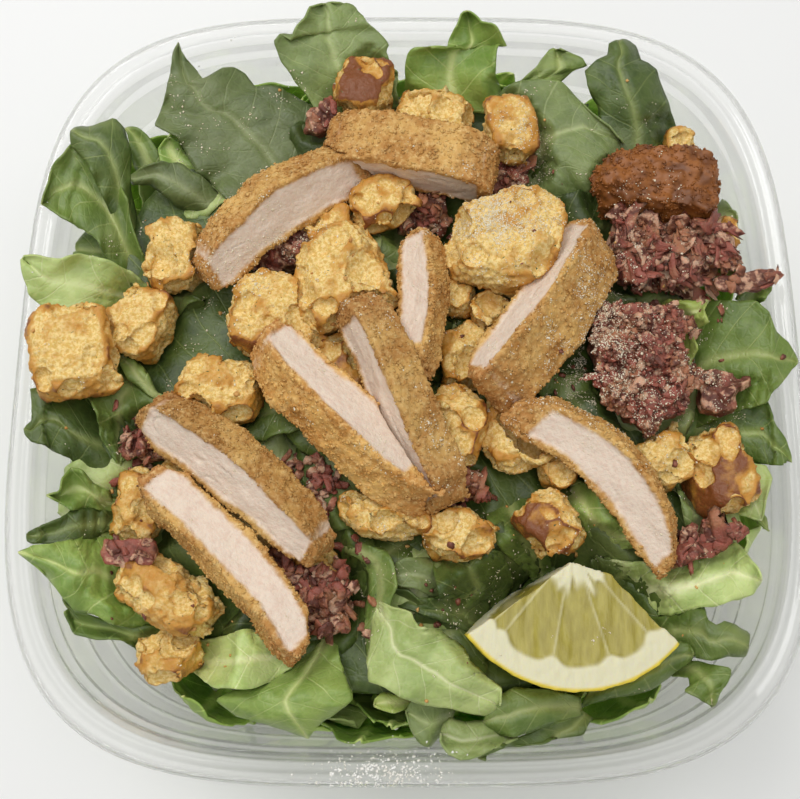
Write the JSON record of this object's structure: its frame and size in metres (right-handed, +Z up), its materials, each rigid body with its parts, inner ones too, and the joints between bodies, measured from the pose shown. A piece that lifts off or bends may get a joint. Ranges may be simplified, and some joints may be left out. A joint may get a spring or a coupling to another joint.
{
  "type": "chicken salad",
  "caption": "Chicken caesar salad in a clear rounded-square bowl, with sliced breaded chicken, croutons, bacon and a lemon wedge.",
  "frame": {"origin": "centre of the bowl's flat underside", "axes": "+Z up out of the bowl, +X to the eater's right, +Y away from the eater"},
  "size_m": [0.192, 0.1952, 0.0765],
  "materials": {
    "clear_plastic": "thin clear formed plastic with soft highlights along the rim and corners",
    "leaf": "romaine leaves from dark sage green to pale ribbed green, with light veins and a soft sheen",
    "breaded_chicken": "golden-brown crumb crust round pinkish-white fibrous meat",
    "toasted_bread": "torn yellow bread with toasted brown faces and green herb flecks",
    "bacon": "maroon and pink crumbled bacon with a greasy sheen",
    "lemon": "wet pale yellow pulp in segments, thick white pith and yellow rind"
  },
  "bodies": {
    "root": {"bowl": "clear_plastic", "lettuce": "leaf", "lemon_wedge": "lemon", "chicken_1": "breaded_chicken", "chicken_7": "breaded_chicken", "chicken_6": "breaded_chicken", "chicken_3": "breaded_chicken", "chicken_8": "breaded_chicken", "chicken_2": "breaded_chicken", "chicken_4": "breaded_chicken", "chicken_5": "breaded_chicken", "chicken_9": "breaded_chicken", "chicken_10": "breaded_chicken", "crouton_01": "toasted_bread", "crouton_02": "toasted_bread", "crouton_03": "toasted_bread", "crouton_04": "toasted_bread", "crouton_05": "toasted_bread", "crouton_06": "toasted_bread", "crouton_07": "toasted_bread", "crouton_08": "toasted_bread", "crouton_09": "toasted_bread", "crouton_10": "toasted_bread", "crouton_11": "toasted_bread", "crouton_12": "toasted_bread", "crouton_13": "toasted_bread", "crouton_14": "toasted_bread", "crouton_15": "toasted_bread", "crouton_16": "toasted_bread", "crouton_17": "toasted_bread", "crouton_18": "toasted_bread", "crouton_19": "toasted_bread", "crouton_20": "toasted_bread", "crouton_21": "toasted_bread", "crouton_22": "toasted_bread", "crouton_23": "toasted_bread", "crouton_24": "toasted_bread", "crouton_25": "toasted_bread", "crouton_26": "toasted_bread", "crouton_27": "toasted_bread", "crouton_28": "toasted_bread", "crouton_29": "toasted_bread", "crouton_30": "toasted_bread", "crouton_31": "toasted_bread", "crouton_32": "toasted_bread", "bacon_1": "bacon", "bacon_2": "bacon", "bacon_3": "bacon", "bacon_4": "bacon", "bacon_5": "bacon", "bacon_6": "bacon", "bacon_7": "bacon", "bacon_8": "bacon", "bacon_9": "bacon", "bacon_10": "bacon", "bacon_11": "bacon", "bacon_12": "bacon", "bacon_13": "bacon", "bacon_14": "bacon", "bacon_15": "bacon"}
  },
  "joints": []
}
